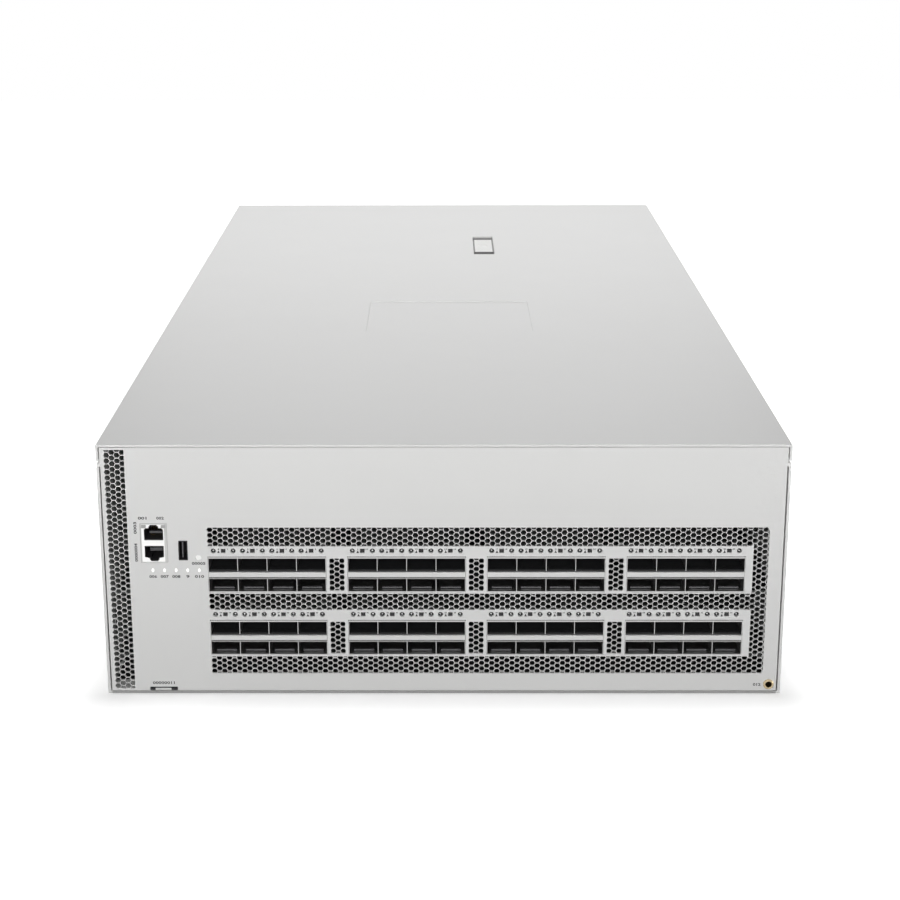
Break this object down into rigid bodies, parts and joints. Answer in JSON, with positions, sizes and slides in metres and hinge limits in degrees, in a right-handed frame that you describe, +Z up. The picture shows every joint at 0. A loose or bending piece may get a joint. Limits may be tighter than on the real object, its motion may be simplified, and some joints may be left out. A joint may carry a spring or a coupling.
{
  "type": "data center switch",
  "caption": "Rack-mounted data center switch with rows of pluggable ports between hexagon vents in front, and hot-swap fan modules and power supplies behind.",
  "frame": {"origin": "middle of the whole outline at the bottom of the base", "axes": "+Z up, the port side looks along -Y, +X to the right seen from the front"},
  "size_m": [0.44, 0.811, 0.172],
  "materials": {
    "case_paint": "fine satin powder coat, light warm grey",
    "zinc_steel": "bright zinc-plated sheet",
    "black_plastic": "moulded, matt",
    "circuit_board": "solder mask over glass laminate",
    "bare_aluminium": "machined, bare",
    "brass": "turned",
    "white_plastic": "translucent white",
    "release_plastic": "moulded, matt blue"
  },
  "bodies": {
    "asset_tag": {"asset_tag": "white_plastic"},
    "chassis": {"band_vent_screens": "case_paint", "bank_vent_screens": "case_paint", "base_chassis": "case_paint", "bay_guides": "zinc_steel", "bay_shelf": "zinc_steel", "board_standoffs": "brass", "bus_socket_shell": "zinc_steel", "bus_socket_tongue": "black_plastic", "console_board": "circuit_board", "console_jack_insert": "black_plastic", "console_jack_shield": "zinc_steel", "control_board": "circuit_board", "control_heat_sink": "bare_aluminium", "cover_latch_well": "black_plastic", "fan_backplane": "circuit_board", "front_panel": "case_paint", "ground_jack": "brass", "main_board": "circuit_board", "port_cage_lower_1": "zinc_steel", "port_cage_lower_2": "zinc_steel", "port_cage_lower_3": "zinc_steel", "port_cage_lower_4": "zinc_steel", "port_cage_upper_1": "zinc_steel", "port_cage_upper_2": "zinc_steel", "port_cage_upper_3": "zinc_steel", "port_cage_upper_4": "zinc_steel", "port_connectors": "black_plastic", "port_dividers": "zinc_steel", "port_field_bars": "case_paint", "port_row_bars": "zinc_steel", "power_backplane": "circuit_board", "rear_panel": "case_paint", "reset_switch": "black_plastic", "side_vent_screens": "case_paint", "status_light_pipe": "white_plastic", "switch_chip": "black_plastic", "switch_heat_sink": "bare_aluminium", "tag_sleeve": "zinc_steel", "top_cover": "case_paint", "upper_port_board": "circuit_board"},
    "cover_latch": {"cover_latch_lever": "black_plastic"},
    "fan_module_1": {"fan_frame_1": "black_plastic"},
    "fan_module_2": {"fan_frame_2": "black_plastic"},
    "fan_module_3": {"fan_frame_3": "black_plastic"},
    "fan_module_4": {"fan_frame_4": "black_plastic"},
    "fan_rotor_1": {"fan_rotor_1": "black_plastic"},
    "fan_rotor_2": {"fan_rotor_2": "black_plastic"},
    "fan_rotor_3": {"fan_rotor_3": "black_plastic"},
    "fan_rotor_4": {"fan_rotor_4": "black_plastic"},
    "power_supply_1": {"power_supply_1": "zinc_steel"},
    "power_supply_2": {"power_supply_2": "zinc_steel"},
    "power_supply_3": {"power_supply_3": "zinc_steel"},
    "power_supply_4": {"power_supply_4": "zinc_steel"},
    "reset_button": {"reset_button": "white_plastic"},
    "supply_release_1": {"supply_release_1": "release_plastic"},
    "supply_release_2": {"supply_release_2": "release_plastic"},
    "supply_release_3": {"supply_release_3": "release_plastic"},
    "supply_release_4": {"supply_release_4": "release_plastic"}
  },
  "joints": [
    {"name": "reset_press", "type": "slide", "parent": "chassis", "child": "reset_button", "axis": [0, 1, 0], "range_m": [0, 0.0008], "stiffness_N_per_m": 400, "springref_m": -0.0008},
    {"name": "tag_pull", "type": "slide", "parent": "chassis", "child": "asset_tag", "axis": [0, -1, 0], "range_m": [0, 0.045]},
    {"name": "cover_latch_lift", "type": "hinge", "parent": "chassis", "child": "cover_latch", "pos_m": [0.039, 0.1984, 0.169], "axis": [-1, 0, 0], "range_deg": [0, 70]},
    {"name": "fan_slide_1", "type": "slide", "parent": "chassis", "child": "fan_module_1", "axis": [0, 1, 0], "range_m": [0, 0.13]},
    {"name": "fan_spin_1", "type": "hinge", "parent": "fan_module_1", "child": "fan_rotor_1", "pos_m": [-0.16275, 0.3355, 0.1056], "axis": [0, 1, 0], "continuous": true},
    {"name": "supply_slide_1", "type": "slide", "parent": "chassis", "child": "power_supply_1", "axis": [0, 1, 0], "range_m": [0, 0.22]},
    {"name": "supply_release_press_1", "type": "slide", "parent": "power_supply_1", "child": "supply_release_1", "axis": [-1, 0, 0], "range_m": [0, 0.003], "stiffness_N_per_m": 400, "springref_m": -0.002},
    {"name": "fan_slide_2", "type": "slide", "parent": "chassis", "child": "fan_module_2", "axis": [0, 1, 0], "range_m": [0, 0.13]},
    {"name": "fan_spin_2", "type": "hinge", "parent": "fan_module_2", "child": "fan_rotor_2", "pos_m": [-0.05425, 0.3355, 0.1056], "axis": [0, 1, 0], "continuous": true},
    {"name": "supply_slide_2", "type": "slide", "parent": "chassis", "child": "power_supply_2", "axis": [0, 1, 0], "range_m": [0, 0.22]},
    {"name": "supply_release_press_2", "type": "slide", "parent": "power_supply_2", "child": "supply_release_2", "axis": [-1, 0, 0], "range_m": [0, 0.003], "stiffness_N_per_m": 400, "springref_m": -0.002},
    {"name": "fan_slide_3", "type": "slide", "parent": "chassis", "child": "fan_module_3", "axis": [0, 1, 0], "range_m": [0, 0.13]},
    {"name": "fan_spin_3", "type": "hinge", "parent": "fan_module_3", "child": "fan_rotor_3", "pos_m": [0.05425, 0.3355, 0.1056], "axis": [0, 1, 0], "continuous": true},
    {"name": "supply_slide_3", "type": "slide", "parent": "chassis", "child": "power_supply_3", "axis": [0, 1, 0], "range_m": [0, 0.22]},
    {"name": "supply_release_press_3", "type": "slide", "parent": "power_supply_3", "child": "supply_release_3", "axis": [-1, 0, 0], "range_m": [0, 0.003], "stiffness_N_per_m": 400, "springref_m": -0.002},
    {"name": "fan_slide_4", "type": "slide", "parent": "chassis", "child": "fan_module_4", "axis": [0, 1, 0], "range_m": [0, 0.13]},
    {"name": "fan_spin_4", "type": "hinge", "parent": "fan_module_4", "child": "fan_rotor_4", "pos_m": [0.16275, 0.3355, 0.1056], "axis": [0, 1, 0], "continuous": true},
    {"name": "supply_slide_4", "type": "slide", "parent": "chassis", "child": "power_supply_4", "axis": [0, 1, 0], "range_m": [0, 0.22]},
    {"name": "supply_release_press_4", "type": "slide", "parent": "power_supply_4", "child": "supply_release_4", "axis": [-1, 0, 0], "range_m": [0, 0.003], "stiffness_N_per_m": 400, "springref_m": -0.002}
  ]
}
